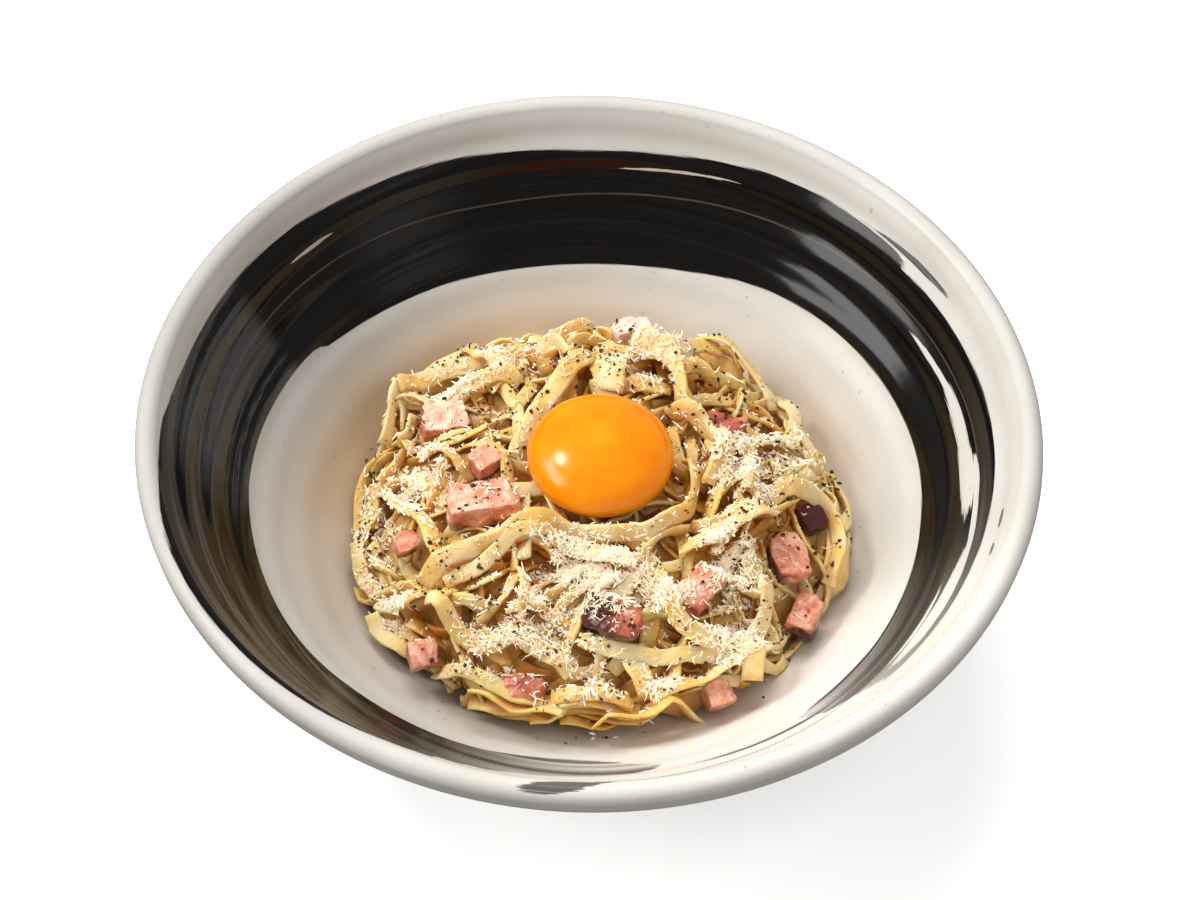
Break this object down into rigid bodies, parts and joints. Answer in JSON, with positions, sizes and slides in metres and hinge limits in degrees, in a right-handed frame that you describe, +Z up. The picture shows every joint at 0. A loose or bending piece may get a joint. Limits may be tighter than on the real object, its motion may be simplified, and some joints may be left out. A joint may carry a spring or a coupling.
{
  "type": "pasta carbonara in a bowl",
  "caption": "Shallow stoneware bowl with a rolled rim and a brushed black band inside, holding a heap of ribbon pasta with grated cheese, diced bacon and a raw egg yolk on top.",
  "frame": {"origin": "middle of the underside of the bowl's foot ring", "axes": "+Z up, out of the bowl; the heap's front, where the long ribbon passes before the yolk, is towards -Y; +X to the right"},
  "size_m": [0.236, 0.236, 0.0765],
  "materials": {
    "bowl_glaze": "glossy ivory glaze over stoneware with a brushed black band round the inside",
    "pasta": "cooked ribbon pasta in a thin creamy sauce, with grated cheese and cracked pepper",
    "egg_yolk": "wet glossy raw yolk",
    "bacon": "pink cured pork with browned edges"
  },
  "bodies": {
    "root": {"bowl": "bowl_glaze", "pasta": "pasta", "egg_yolk": "egg_yolk", "bacon_01": "bacon", "bacon_02": "bacon", "bacon_03": "bacon", "bacon_04": "bacon", "bacon_05": "bacon", "bacon_06": "bacon", "bacon_07": "bacon", "bacon_08": "bacon", "bacon_09": "bacon", "bacon_10": "bacon", "bacon_11": "bacon", "bacon_12": "bacon", "bacon_13": "bacon", "bacon_14": "bacon", "bacon_15": "bacon"}
  },
  "joints": []
}
